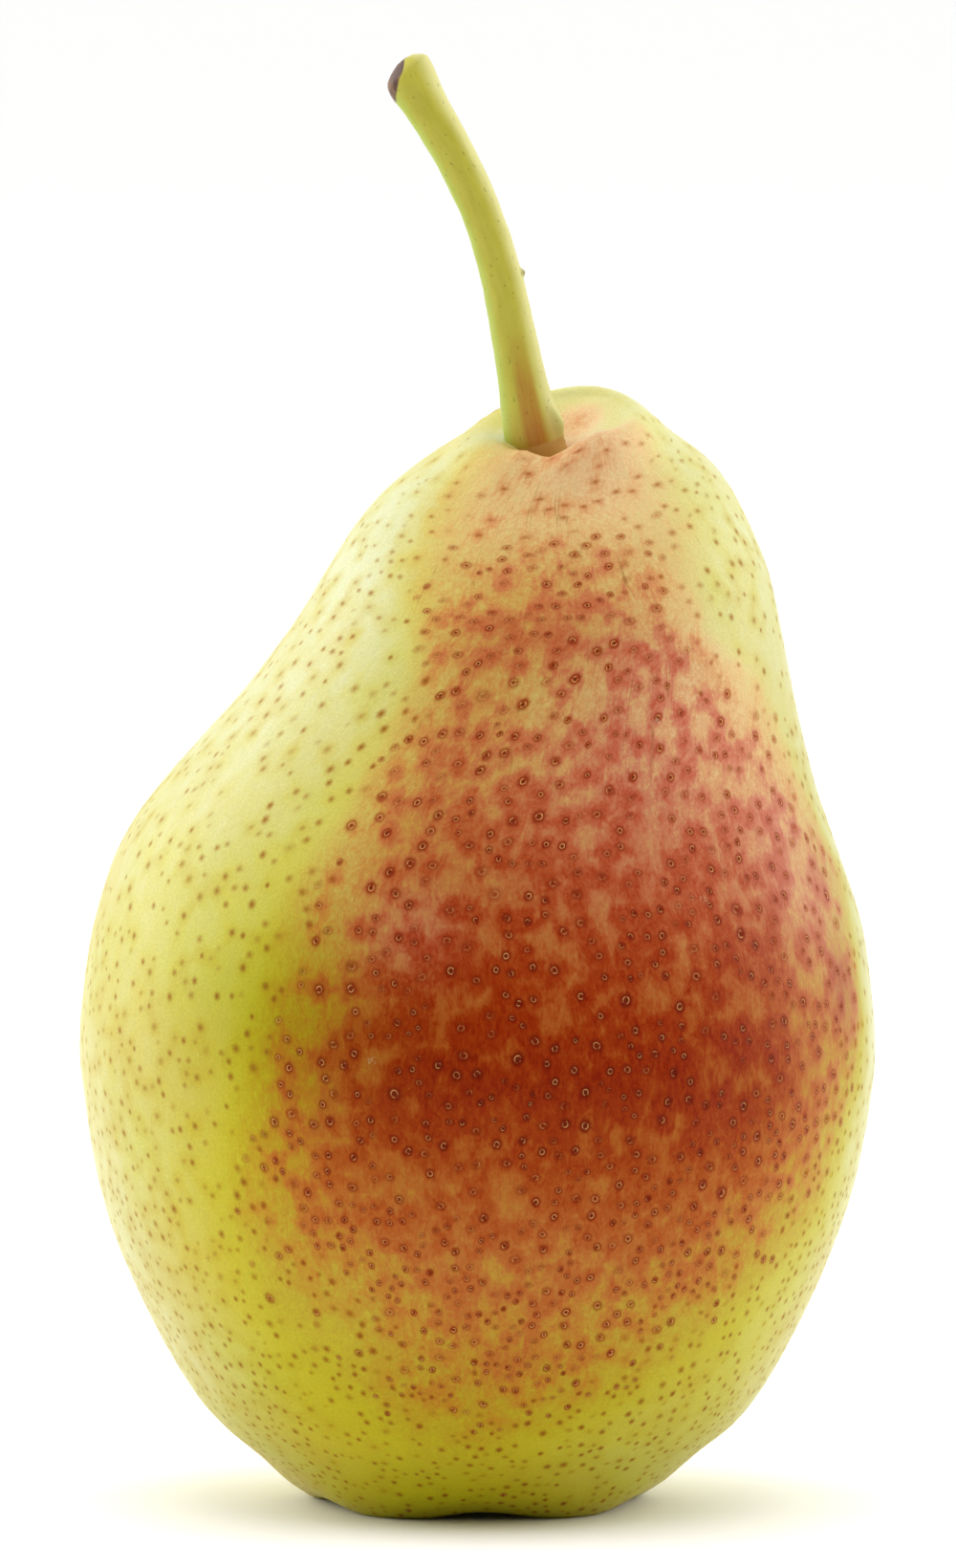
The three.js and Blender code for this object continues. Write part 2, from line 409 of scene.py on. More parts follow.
def join_points(angle, flat, radius):
    """Delaunay triangles of the skin laid out flat. Points near the seam are repeated past it."""
    margin = np.clip(SEAM_MARGIN / radius, 0.12, 2.8)
    low = np.flatnonzero(angle < margin)
    high = np.flatnonzero(angle > 2 * math.pi - margin)
    source = np.concatenate([np.arange(len(angle)), low, high])
    turned = np.concatenate([angle, angle[low] + 2 * math.pi, angle[high] - 2 * math.pi])
    spots = [Vector(pair) for pair in zip(turned, flat[source])]
    triangles = np.array(delaunay_2d_cdt(spots, [], [], 0, 1e-9, False)[2])
    middle = turned[triangles].mean(axis=1)
    return source[triangles[(middle >= 0) & (middle < 2 * math.pi)]]


def close_end(triangles, angle, on_end, centre, outward):
    """A fan from the centre point to the ring of points at one end of the meridian."""
    ring = np.flatnonzero(on_end)
    ring = ring[np.argsort(angle[ring])]
    after = np.roll(ring, -1)
    first, second = (after, ring) if outward else (ring, after)
    fan = np.stack([np.full(len(ring), centre), first, second], axis=1)
    return np.vstack([triangles, fan])


# ---------------------------------------------------------------- meshes

UNDULATION = [(9.0, 0.16), (3.2, 0.035)]  # soft unevenness of the skin, as (wavelength, height)
WRINKLE_HEIGHT = 0.07
# The rim of the stem's pocket is a fleshy lip with a notch in front, as (angle in degrees, rise).
LIP = [(-160, 0), (-118, 0.7), (-99, -0.2), (-80, 0.8), (-62, 1.5), (-40, 0.9), (-10, 0.1), (10, 0)]
LIP_RADIUS = 7.0
LIP_SPREAD = 4.5
# Flesh closes in on the foot of the stem, as (angle around the stem, height, rise per mm outwards).
STEM_FOOT = (4.7, -4.7)
FOOT_RADIUS = 2.3
COLLAR_REACH = {"radius": (6, 9.5), "from_stem": (5, 9)}  # the distances over which the flesh dies away
COLLAR = [
    (-180, 88.7, 0.0), (-135, 88.2, -0.1), (-95, 87.2, -0.3), (-45, 87.1, 0.35), (0, 87.6, 0.5),
    (45, 88.4, 0.7), (90, 89.2, 0.6), (135, 89.1, 0.2), (180, 88.7, 0.0),
]
COLLAR_TOP = 92.3
COLLAR_ROUND = 1.2  # how softly the flesh levels out towards its top
COLLAR_BLEND = 0.7  # how softly the flesh runs into the skin around it
# The pocket reddens and darkens beside the stem, its pink with painted shade of the hollow: most within reach
# of this point, and a little as far as the fade. Around it the skin is also paler and rosier, painted light
# on the hollow's shaded slope.
POCKET_BLUSH_AND_SHADE = {"x": 8.2, "y": -1.6, "reach": 2.8, "fade": 6.5, "redness": 0.17, "faint": 0.13}
CROWN_COLOUR = (78, 86)  # the heights between which the crown's quieter colours set in
# Where the blush breaks into its pattern: with its redness, and more above these heights.
PATTERN_BLUSH = (0.03, 0.35)
PATTERN_HEIGHTS = (26, 38)
HUMP_BLUSH = {"radius": 5.5, "spread": 5.5, "angle": 1.2, "width": 1.7, "less": 0.4}  # the hump stays greener


def noise_at(places, wavelength, offset=0.0):
    """Smooth noise from -1 to 1 at each place."""
    return np.array([noise.noise(Vector(place) / wavelength + Vector((offset, 0, 0))) for place in places])


def skin_relief(table, angle, along, places):
    radius = look_up(table, along, "radius")
    height = look_up(table, along, "height")
    relief = sum(size * noise_at(places, wavelength, wavelength) for wavelength, size in UNDULATION)
    relief *= smoothstep(height, 0.5, 6)
    on_crown = (height > POCKET["above"]) * bell(radius - 9, 4)
    folds = np.sin(24 * angle + 6 * noise_at(places, 5.0, 11.0)) * noise_at(places, 4.0, 5.0)
    return relief + WRINKLE_HEIGHT * folds * on_crown


def shape_crown(vertices, angle, radius, height):
    """Raises the lip of the pocket, and closes the flesh in on the stem."""
    on_crown = height > POCKET["above"]
    degrees = np.degrees(turn_between(angle, 0))
    vertices[:, 2] += on_crown * stations(degrees, LIP, 1) * bell(radius - LIP_RADIUS, LIP_SPREAD)
    across = vertices[:, 0] - STEM_FOOT[0]
    behind = vertices[:, 1] - STEM_FOOT[1]
    outwards = np.hypot(across, behind) - FOOT_RADIUS
    around = np.degrees(np.arctan2(behind, across))
    flesh = stations(around, COLLAR, 1) + stations(around, COLLAR, 2) * np.maximum(outwards, 0)
    room = COLLAR_TOP - flesh
    missing = COLLAR_TOP - (room + np.hypot(room, COLLAR_ROUND)) / 2 - vertices[:, 2]
    missing = (missing + np.hypot(missing, COLLAR_BLEND)) / 2
    near_axis = 1 - smoothstep(radius, *COLLAR_REACH["radius"])
    near_stem = 1 - smoothstep(outwards, *COLLAR_REACH["from_stem"])
    vertices[:, 2] += on_crown * missing * near_axis * near_stem


def build_mesh(name, vertices, faces, values=None, vectors=None, smooth=True):
    """A mesh object from vertices in mm, with its named values and vectors at each vertex."""
    mesh = bpy.data.meshes.new(name)
    mesh.from_pydata((np.asarray(vertices) * MM).tolist(), [], [tuple(face) for face in faces])
    for title, column in (values or {}).items():
        mesh.attributes.new(title, "FLOAT", "POINT").data.foreach_set("value", np.asarray(column, np.float32))
    for title, column in (vectors or {}).items():
        flat = np.asarray(column, np.float32).ravel()
        mesh.attributes.new(title, "FLOAT_VECTOR", "POINT").data.foreach_set("vector", flat)
    mesh.polygons.foreach_set("use_smooth", [smooth] * len(mesh.polygons))
    mesh.update()
    piece = bpy.data.objects.new(name, mesh)
    bpy.context.scene.collection.objects.link(piece)
    return piece


def clouds(places, lenticels):
    """How far each place lies inside a cloud of red: lenticels gather clouds, some more than others."""
    strength = np.random.default_rng(SEED + 3).uniform(0.35, 1.0, len(lenticels))
    tree = tree_of(lenticels)
    found = [tree.find_n(place, 3) for place in places]
    distance = np.array([[near[2] for near in three] for three in found])
    owner = np.array([[near[1] for near in three] for three in found])
    return (strength[owner] * (1 - smoothstep(distance, *CLOUD_REACH))).max(axis=1)


def fruit_values(points, vertices, angle, radius, height, cloud):
    """What the skin's material reads at each vertex."""
    degrees = azimuth(angle)
    crown = smoothstep(height, *CROWN_COLOUR)
    on_top = height > POCKET["above"]
    beside_stem = np.hypot(vertices[:, 0] - POCKET_BLUSH_AND_SHADE["x"], vertices[:, 1] - POCKET_BLUSH_AND_SHADE["y"])
    in_pocket = on_top * bell(beside_stem, POCKET_BLUSH_AND_SHADE["reach"])
    near_pocket = on_top * bell(beside_stem, POCKET_BLUSH_AND_SHADE["fade"])
    towards_hump = bell(turn_between(angle, HUMP_BLUSH["angle"]), HUMP_BLUSH["width"])
    on_hump = on_top * bell(radius - HUMP_BLUSH["radius"], HUMP_BLUSH["spread"]) * towards_hump
    blush = blush_share(angle, height)
    pocket_blush_and_shade = POCKET_BLUSH_AND_SHADE["redness"] * in_pocket + POCKET_BLUSH_AND_SHADE["faint"] * near_pocket
    upper = smoothstep(height, *PATTERN_HEIGHTS)
    return {
        "pore": points[:, 2],
        "pore_ringed": points[:, 4],
        "pore_tone": points[:, 5],
        "cloud": cloud,
        "blush": blush * (1 - HUMP_BLUSH["less"] * on_hump) + pocket_blush_and_shade,
        "crown": crown,
        "lively": smoothstep(blush, *PATTERN_BLUSH) * (0.85 + 0.15 * upper - 0.15 * crown),
        # pale: partly paler skin, partly a painted highlight
        "pale": patches(degrees, height, PALE_AND_SHEEN_PATCHES),
        # rosy: partly rosier skin, partly painted sheen, and by the pocket painted light
        "rosy": np.clip(patches(degrees, height, ROSY_AND_SHEEN_PATCHES) + near_pocket, 0, 1),
        "dusky_and_shade": patches(degrees, height, DUSKY_AND_SHADE_PATCHES),
    }


def fruit_layouts(angle, along, radius, length):
    """Places for the skin's noise: flow keeps round blobs round, and lines keeps long ones upright."""
    layouts = {}
    for title, across in {"flow": radius, "lines": WIDEST_RADIUS}.items():
        layout = np.stack([across * np.cos(angle), across * np.sin(angle), along], axis=1)
        layouts[title] = np.vstack([layout, [0, 0, 0], [0, 0, length]])
    return layouts


def make_fruit():
    table = meridian_table()
    pores, lenticels, halo = lenticel_points(table, *scatter_lenticels(table))
    points = np.vstack([pores, plain_points(table, lenticels, halo)])
    angle = points[:, 0] % (2 * math.pi)
    along = points[:, 1]
    radius = look_up(table, along, "radius")
    height = look_up(table, along, "height")
    triangles = join_points(angle, look_up(table, along, "flat"), radius)

    places = skin_at(table, angle, along)
    relief = points[:, 3] * points[:, 6] + skin_relief(table, angle, along, places)
    vertices = places + skin_normal(table, angle, along) * relief[:, None]
    vertices[:, 2] = np.maximum(vertices[:, 2], 0)
    shape_crown(vertices, angle, radius, height)

    ends = np.array([skin_point(0.0, 0.0, MERIDIAN[0][1]), skin_point(0.0, 0.0, MERIDIAN[-1][1])])
    count = len(vertices)
    length = table["along"][-1]
    triangles = close_end(triangles, angle, along == 0, count, False)
    triangles = close_end(triangles, angle, along == length, count + 1, True)

    values = fruit_values(points, vertices, angle, radius, height, clouds(places, lenticels))
    values = {title: np.append(column, [column[0], column[-1]]) for title, column in values.items()}
    values["pore"][-2:] = 1
    layouts = fruit_layouts(angle, along, radius, length)
    return build_mesh("pear_fruit", np.vstack([vertices, ends]), triangles, values, layouts)


def grid_faces(rows, columns):
    """Faces of a tube of rows of points, each a closed ring, with a fan to one more point at each end."""
    faces = []
    for row in range(rows - 1):
        for column in range(columns):
            after = (column + 1) % columns
            low, high = row * columns, (row + 1) * columns
            faces.append((low + column, low + after, high + after, high + column))
    first, last = rows * columns, rows * columns + 1
    top = (rows - 1) * columns
    for column in range(columns):
        after = (column + 1) % columns
        faces.append((first, after, column))
        faces.append((last, top + column, top + after))
    return faces


def along_line(points, shares):
    """Places and directions at those shares of a smooth line through the points, and the line's length."""
    line = spline(points, 60)
    step = np.linalg.norm(np.diff(line, axis=0), axis=1)
    length = np.concatenate([[0], np.cumsum(step)])
    spots = np.stack([np.interp(shares * length[-1], length, line[:, axis]) for axis in range(3)], axis=1)
    ahead = np.stack([
        np.interp(np.clip(shares + 0.01, 0, 1) * length[-1], length, line[:, axis])
        - np.interp(np.clip(shares - 0.01, 0, 1) * length[-1], length, line[:, axis]) for axis in range(3)
    ], axis=1)
    return spots, ahead / np.linalg.norm(ahead, axis=1, keepdims=True), length[-1]


STEM_ROWS = 260
STEM_COLUMNS = 72
STEM_FIBRES = {"height": 0.012, "length": 9, "coarse": 0.25, "fine": 0.12}
STEM_KNOBS = {"height": 0.05, "at_tip": 0.1, "length": 2, "size": 0.8}
BUD_SCAR = {"share": 0.44, "angle": math.radians(-8), "radius": 0.55, "height": 0.3}
FLESH_FOLD = {"share": 0.085, "reach": 0.06, "angle": math.radians(-22), "width": 0.4, "height": 0.5}
TIP = (0.9, 0.97)  # the shares of the length between which the knobbly tip starts
TIP_OVAL = 0.06
TIP_SLANT = 0.16  # the cut end faces to one side: its rise for each mm across
TIP_BEND = {"over": 1.7, "share": 0.8}  # what is thicker than this grows towards one side
STEM_FRONT = math.radians(-85)
SHADED_FOOT_SHARE = 0.05  # below this share of its length the stem is painted the tan of the shaded flesh under it: painted shade


def stem_radius(angle, share, radius, length, scar, fold):
    """The stem's radius with its fibres, knobs, bud scar and fold of flesh."""
    fibre_places = np.stack([np.cos(angle), np.sin(angle), share * length / STEM_FIBRES["length"]], axis=1)
    fibres = noise_at(fibre_places, STEM_FIBRES["coarse"])
    fibres = fibres + 0.5 * noise_at(fibre_places, STEM_FIBRES["fine"], 3.0)
    knob_places = np.stack([np.cos(angle), np.sin(angle), share * length / STEM_KNOBS["length"]], axis=1)
    knobs = noise_at(knob_places, STEM_KNOBS["size"], 7.0)
    knob_height = STEM_KNOBS["height"] + STEM_KNOBS["at_tip"] * smoothstep(share, *TIP)
    radius = radius + STEM_FIBRES["height"] * fibres + knob_height * knobs
    return radius + BUD_SCAR["height"] * scar + FLESH_FOLD["height"] * fold


def make_stem():
    shares = np.linspace(0, 1, STEM_ROWS)
    outline = spline(STEM_RADII, 24)
    radii = np.interp(shares, outline[:, 0], outline[:, 1])
    middle, ahead, length = along_line(STEM_LINE, shares)
    right = np.cross([0, 1, 0], ahead)
    right /= np.linalg.norm(right, axis=1, keepdims=True)
    behind = np.cross(ahead, right)
    angle = np.tile(np.arange(STEM_COLUMNS) * 2 * math.pi / STEM_COLUMNS, STEM_ROWS)
    share = np.repeat(shares, STEM_COLUMNS)
    radius = np.repeat(radii, STEM_COLUMNS)
    row = np.repeat(np.arange(STEM_ROWS), STEM_COLUMNS)

    across_scar = turn_between(angle, BUD_SCAR["angle"]) * radius
    scar = bell(np.hypot((share - BUD_SCAR["share"]) * length, across_scar), BUD_SCAR["radius"])
    fold = bell(turn_between(angle, FLESH_FOLD["angle"]), FLESH_FOLD["width"])
    fold = fold * bell(share - FLESH_FOLD["share"], FLESH_FOLD["reach"])
    radius = stem_radius(angle, share, radius, length, scar, fold)
    oval = 1 + TIP_OVAL * smoothstep(share, 0.86, 0.96) * np.cos(2 * angle)
    flare = np.maximum(radius - TIP_BEND["over"], 0) * smoothstep(share, 0.7, 0.85)
    across = radius * oval * np.cos(angle) - TIP_BEND["share"] * flare
    slant = TIP_SLANT * smoothstep(share, 0.9, 1) * across
    vertices = (
        middle[row]
        + ahead[row] * slant[:, None]
        + right[row] * across[:, None]
        + behind[row] * (radius / oval * np.sin(angle))[:, None]
    )
    vertices = np.vstack([vertices, middle[0], middle[-1] + ahead[-1] * 0.1])

    cork = smoothstep(share - 0.09 * np.cos(angle), 0.985, 1.03)
    values = {
        "share": np.append(share, [0, 1]),
        "scar": np.append(scar, [0, 0]),
        "fold": np.append(fold, [0, 0]),
        "cork": np.append(cork, [0, 1]),
        "front": np.append(np.cos(angle - STEM_FRONT), [0, 0]),
        "side": np.append(np.cos(angle), [0, 0]),
    }
    flow = np.stack([2 * np.cos(angle), 2 * np.sin(angle), share * length], axis=1)
    flow = np.vstack([flow, [0, 0, 0], [0, 0, length]])
    return build_mesh("pear_stem", vertices, grid_faces(STEM_ROWS, STEM_COLUMNS), values, {"flow": flow})


SEPALS = 5
SEPAL = {
    "length": 4.2, "half": 1.25, "thickness": 0.5, "foot": 2.9, "top": 3.9, "droop": 0.6, "curl": 0.02,
    "cup": 0.32, "ripple": 0.08, "wrinkle": 0.06, "bend": 0.25,
}
SEPAL_ROWS = 44
SEPAL_COLUMNS = 28
SEPAL_OUTLINE = [(0, 0), (0.04, 0.8), (0.24, 1), (0.5, 0.75), (0.79, 0.35), (1, 0)]
STAMENS = 8
STAMEN = {
    "length": 3.6, "radius": 0.2, "head": 0.34, "ring": 1.15, "top": 6.2, "splay": 0.16,
    "uneven": 0.4, "bend": 0.12, "wrinkle": 0.2,
}
STAMEN_ROWS = 40
STAMEN_COLUMNS = 14


def turned(vertices, angle):
    """The vertices, turned about the fruit's axis."""
    cos, sin = math.cos(angle), math.sin(angle)
    return vertices @ np.array([[cos, sin, 0], [-sin, cos, 0], [0, 0, 1]])


def tube_places(rows, columns, first, last):
    """The share along, from first to last, and the turn around of each point of a tube."""
    share = np.repeat(np.linspace(first, last, rows), columns)
    turn = np.tile(np.arange(columns) * 2 * math.pi / columns, rows)
    return share, turn


def close_tube(vertices, columns):
    """The vertices, with the middle of the first ring and of the last ring added."""
    return np.vstack([vertices, vertices[:columns].mean(axis=0), vertices[-columns:].mean(axis=0)])


def make_sepal(index):
    """A dried blade that starts at the calyx tube, droops outwards, and is cupped and wrinkled."""
    side_bend = random.Random(SEED + 20 + index).uniform(-SEPAL["bend"], SEPAL["bend"])
    share, turn = tube_places(SEPAL_ROWS, SEPAL_COLUMNS, 0.01, 0.99)
    outline = np.array(SEPAL_OUTLINE)
    half = SEPAL["half"] * np.interp(share, outline[:, 0], outline[:, 1])
    along = share * SEPAL["length"]
    across = half * np.cos(turn)
    thick = SEPAL["thickness"] / 2 * (half / SEPAL["half"]) ** 0.5 * np.sin(turn)
    cup = SEPAL["ripple"] * np.sin(5 * along + index) * across - SEPAL["cup"] * (across / SEPAL["half"]) ** 2
    drop = SEPAL["curl"] * along ** 2 - SEPAL["droop"] * along
    wrinkle = SEPAL["wrinkle"] * np.sin(9 * across + 2 * along)
    vertices = np.stack([
        SEPAL["foot"] + along,
        across + side_bend * share ** 2,
        SEPAL["top"] + drop + thick + cup + wrinkle,
    ], axis=1)
    vertices = turned(close_tube(vertices, SEPAL_COLUMNS), LOBE_ANGLE + 2 * math.pi * index / SEPALS)
    faces = grid_faces(SEPAL_ROWS, SEPAL_COLUMNS)
    return build_mesh(f"pear_sepal_{index + 1}", vertices, faces, {"share": np.append(share, [0, 1])})


def make_stamen(index):
    """A dried filament that hangs in the calyx tube, with a small head at its lower end."""
    length = STAMEN["length"] + STAMEN["uneven"] * math.sin(2.4 * index)
    share, turn = tube_places(STAMEN_ROWS, STAMEN_COLUMNS, 0, 1)
    drop = share * length
    head = bell(drop - length + 0.55, 0.75)
    radius = STAMEN["radius"] * (0.55 + 0.45 * (1 - share)) + (STAMEN["head"] - STAMEN["radius"]) * head
    radius = radius * (1 + STAMEN["wrinkle"] * np.sin(3 * turn + 7 * drop))
    radius = radius * np.minimum(1, 6 * (1 - share) + 0.15)
    vertices = np.stack([
        STAMEN["ring"] + radius * np.cos(turn) + STAMEN["splay"] * drop,
        radius * np.sin(turn) + STAMEN["bend"] * np.sin(1.6 * drop + index),
        STAMEN["top"] - drop,
    ], axis=1)
    vertices = turned(close_tube(vertices, STAMEN_COLUMNS), 2 * math.pi * index / STAMENS)
    faces = [tuple(reversed(face)) for face in grid_faces(STAMEN_ROWS, STAMEN_COLUMNS)]
    return build_mesh(f"pear_stamen_{index + 1}", vertices, faces, {"share": np.append(share, [0, 1])})


# ---------------------------------------------------------------- materials

def srgb(code):
    """A colour as it looks on screen, "#rrggbb", in the linear light that Blender works in."""
    levels = [int(code[at:at + 2], 16) / 255 for at in (1, 3, 5)]
    return tuple([c / 12.92 if c <= 0.04045 else ((c + 0.055) / 1.055) ** 2.4 for c in levels] + [1.0])


class Nodes:
    """Short names for the node types that the materials here are wired from."""

    def __init__(self, name):
        self.material = bpy.data.materials.new(name)
        self.material.use_nodes = True
        self.tree = self.material.node_tree
        self.shader = self.tree.nodes["Principled BSDF"]

    def link(self, source, socket):
        if hasattr(source, "is_output"):
            self.tree.links.new(source, socket)
        else:
            socket.default_value = source

    def node(self, kind, output, inputs, **settings):
        """One output of a new node, whose inputs are linked or set."""
        node = self.tree.nodes.new("ShaderNode" + kind)
        for title, value in settings.items():
            setattr(node, title, value)
        for socket, value in inputs.items():
            self.link(value, node.inputs[socket])
        return node.outputs[output]

    def attribute(self, name, output="Fac"):
        return self.node("Attribute", output, {}, attribute_name=name)

    def coordinates(self, output):
        return self.node("TexCoord", output, {})

    def axis(self, vector, axis):
        return self.node("SeparateXYZ", axis, {"Vector": vector})

    def distance(self, vector, place):
        return self.node("VectorMath", "Value", {0: vector, 1: place}, operation="DISTANCE")

    def math(self, operation, first, second=0.0, clamp=False):
        return self.node("Math", 0, {0: first, 1: second}, operation=operation, use_clamp=clamp)

    def plus(self, first, second):
        return self.math("ADD", first, second)

    def minus(self, first, second):
        return self.math("SUBTRACT", first, second)

    def times(self, first, second):
        return self.math("MULTIPLY", first, second)

    def either(self, switch, off, on):
        """The value off where the switch is 0, on where it is 1, and a blend between."""
        return self.plus(off, self.times(switch, on - off))

    def smooth(self, value, low, high):
        """0 below low, 1 above high, and a smooth step between."""
        inputs = {"Value": value, "From Min": low, "From Max": high}
        return self.node("MapRange", "Result", inputs, interpolation_type="SMOOTHSTEP")

    def stretch(self, vector, along):
        """The vector with its third axis scaled: under 1, the noise on it is drawn out along the piece."""
        return self.node("Mapping", "Vector", {"Vector": vector, "Scale": (1, 1, along)})

    def noise(self, vector, size, detail=2.0, roughness=0.5, distortion=0.0):
        """Noise from 0 to 1, whose blobs are about size across, in the vector's own units."""
        return self.node("TexNoise", "Fac", {
            "Vector": vector, "Scale": 1 / size, "Detail": detail,
            "Roughness": roughness, "Distortion": distortion,
        })

    def mix(self, share, first, second, blend="MIX"):
        inputs = {"Factor": share, "A": first, "B": second}
        return self.node("Mix", "Result", inputs, data_type="RGBA", blend_type=blend)

    def ramp(self, value, stops):
        """Colours blended along a value, from stops of (value, colour)."""
        node = self.tree.nodes.new("ShaderNodeValToRGB")
        while len(node.color_ramp.elements) < len(stops):
            node.color_ramp.elements.new(0.5)
        for element, (position, color) in zip(node.color_ramp.elements, stops):
            element.position = position
            element.color = color
        self.link(value, node.inputs["Fac"])
        return node.outputs["Color"]

    def around(self, value, swing):
        """A noise value, as a swing around 0."""
        return self.times(self.minus(value, 0.5), swing)

    def bump(self, height, distance):
        return self.node("Bump", "Normal", {"Distance": distance, "Strength": 1.0, "Height": height})

    def finish(self, color, roughness, normal=None, **settings):
        self.link(color, self.shader.inputs["Base Color"])
        self.link(roughness, self.shader.inputs["Roughness"])
        if normal is not None:
            self.link(normal, self.shader.inputs["Normal"])
        for title, value in settings.items():
            self.shader.inputs[title.replace("_", " ")].default_value = value
        return self.material


GREEN = srgb("#beb60e")
GREEN_WARM = srgb("#c0b018")
# CREAM is the colour of the pale patches: paler skin, and a painted highlight.
CREAM = srgb("#cacca0")
GREEN_SPECKLED = srgb("#e8d0a0")  # the tinge of the green skin close to its lenticels
# The blush's colours, from where it starts to its deepest red: warm, and paler and rosier in the rosy
# patches, which are partly rosier skin and partly painted sheen.
BLUSH = [
    (0.08, srgb("#bab01c")), (0.2, srgb("#b49a1a")), (0.35, srgb("#b27c1c")), (0.5, srgb("#ac6420")),
    (0.65, srgb("#a24e14")), (0.8, srgb("#923404")), (0.92, srgb("#862200")), (1.0, srgb("#781400")),
]
BLUSH_ROSY_AND_SHEEN = [
    (0.08, srgb("#d8c696")), (0.2, srgb("#d8b486")), (0.35, srgb("#cc9a6a")), (0.5, srgb("#be785c")),
    (0.65, srgb("#b25c46")), (0.8, srgb("#a04028")), (0.92, srgb("#902c14")), (1.0, srgb("#801a0c")),
]
# Darkens the skin in the dusky patches: a duller tone, and painted shade.
DUSKY_AND_SHADE = srgb("#dedeb0")
FIBRE = srgb("#e6d4bc")
WAXY = (1.0, 0.7, 0.3, 1.0)  # the tint of the skin's own soft gloss
# Corky scars on the skin, as (azimuth, height, half width in mm).
SCARS = [(-15, 40, 0.5), (30, 66.7, 0.5), (37, 52.3, 0.6), (24.5, 64.2, 0.3)]
SCAR = srgb("#c8b488")
HAIRLINE = srgb("#a89a50")
PORE_SHADE = srgb("#c27648")
PORE_BROWN = srgb("#c8883e")
PORE_RUST = srgb("#d87c48")
PORE_RING = srgb("#deaa66")
PORE_CENTRE = srgb("#582410")
PORE_CENTRE_PLAIN = srgb("#845016")

# How far each noise sways the blush's redness, and how much of the streaky pattern is left in the end.
PATTERN = {"streaks": 1.35, "mottles": 0.35, "clouds": 0.85, "mean_cloud": 0.42, "left": 0.3}
SPECKLE = {"flecks": 0.42, "fibres": 0.16}
PATTERN_LEVEL = (0.12, 0.7)  # the level the pattern is cut at: its start, and its rise with the blush
PATTERN_EDGE = (0.1, 0.9)
PALENESS = {"streaks": 0.6, "mottles": 1.0, "open": 1.15, "less_in_clouds": 0.4}
SPECKLED = 0.25
CRACK = {"neck": (0.058, 0.068), "crown": (0.088, 0.084), "width": (0.012, 0.003), "strength": 0.4}
# The marks of a lenticel, by its own share from 0 at the centre to 1 at the halo's edge.
HALO = {"plain": 0.22, "ringed": 0.35, "plain_strength": 0.2, "ringed_strength": 0.38, "on_crown": 0.2}
RING = {"inside": (0.25, 0.31), "outside": (0.35, 0.43), "on_green": 0.56, "on_red": 0.1}
CENTRE = {"from": 0.05, "plain": 0.45, "ringed": 0.25, "strength": 0.12}
SKIN_ROUGHNESS = 0.38


def scar_place(degrees, height):
    """The point of the skin, in metres, at an azimuth and a height up the flank."""
    flank = [point for point in MERIDIAN if point[0] > 15]
    radius = np.interp(height, [point[1] for point in flank], [point[0] for point in flank])
    return Vector(skin_point(radius, math.radians(degrees - 90), height)) * MM


def green_ground(n, flow, streaks, mottles):
    """Green skin: warmer in broad areas, creamy in its pale patches, which are partly paler skin and partly a
    painted highlight, and tinged around its lenticels.
    """
    broad = n.noise(flow, 16.0)
    cloud = n.attribute("cloud")
    green = n.mix(n.smooth(broad, 0.35, 0.65), GREEN, GREEN_WARM)
    uneven = n.plus(n.around(streaks, PALENESS["streaks"]), n.around(mottles, PALENESS["mottles"]))
    paleness = n.times(n.attribute("pale"), n.plus(1.0, uneven))
    open_skin = n.minus(PALENESS["open"], n.times(cloud, PALENESS["less_in_clouds"]))
    paleness = n.math("MINIMUM", n.times(paleness, open_skin), 1.0)
    green = n.mix(paleness, green, CREAM)
    tinge = n.times(n.smooth(cloud, 0.45, 0.9), SPECKLED)
    return n.mix(tinge, green, GREEN_SPECKLED, "MULTIPLY")


def blush_pattern(n, blush, streaks, mottles, speckle):
    """How far the redness swings around the blush: it gathers around lenticels and leaves streaky gaps."""
    field = n.plus(n.around(streaks, PATTERN["streaks"]), n.around(mottles, PATTERN["mottles"]))
    clouds_around = n.minus(n.attribute("cloud"), PATTERN["mean_cloud"])
    field = n.plus(field, n.times(clouds_around, PATTERN["clouds"]))
    level = n.plus(PATTERN_LEVEL[0], n.times(blush, PATTERN_LEVEL[1]))
    cut = n.smooth(n.plus(level, field), *PATTERN_EDGE)
    swing = n.times(n.minus(cut, n.smooth(level, *PATTERN_EDGE)), PATTERN["left"])
    swing = n.times(swing, n.attribute("lively"))
    return n.plus(swing, n.times(speckle, n.smooth(blush, 0.03, 0.3)))


def with_blush(n, green, blush, swing):
    """The red over the green, paler and rosier in its rosy patches: partly rosier skin, partly painted sheen.
    Where the pattern is redder, it is lighter too.
    """
    redness = n.plus(blush, swing)
    red = n.mix(n.attribute("rosy"), n.ramp(redness, BLUSH), n.ramp(redness, BLUSH_ROSY_AND_SHEEN))
    red = n.mix(1.0, red, n.plus(1.0, n.times(swing, 0.4)), "MULTIPLY")
    return n.mix(n.smooth(redness, 0.0, 0.16), green, red)


def with_cracks(n, skin, lines, blush):
    """Fine russet cracks that run up the neck."""
    cracks = n.noise(n.stretch(lines, 0.09), 1.6, 1.0)
    crack = n.smooth(n.math("ABSOLUTE", n.around(cracks, 1.0)), *CRACK["width"])
    height = n.axis(n.coordinates("Object"), "Z")
    on_neck = n.times(n.smooth(height, *CRACK["neck"]), n.smooth(height, *CRACK["crown"]))
    some = n.smooth(n.noise(n.stretch(lines, 0.5), 6.0, 1.0), 0.5, 0.62)
    in_red = n.times(some, n.smooth(blush, 0.02, 0.15))
    crack = n.times(n.times(crack, on_neck), in_red)
    return n.mix(n.times(crack, CRACK["strength"]), skin, HAIRLINE, "MULTIPLY")


def lenticel_halo(n, pore, ringed):
    return n.minus(1.0, n.smooth(pore, n.either(ringed, HALO["plain"], HALO["ringed"]), 1.0))


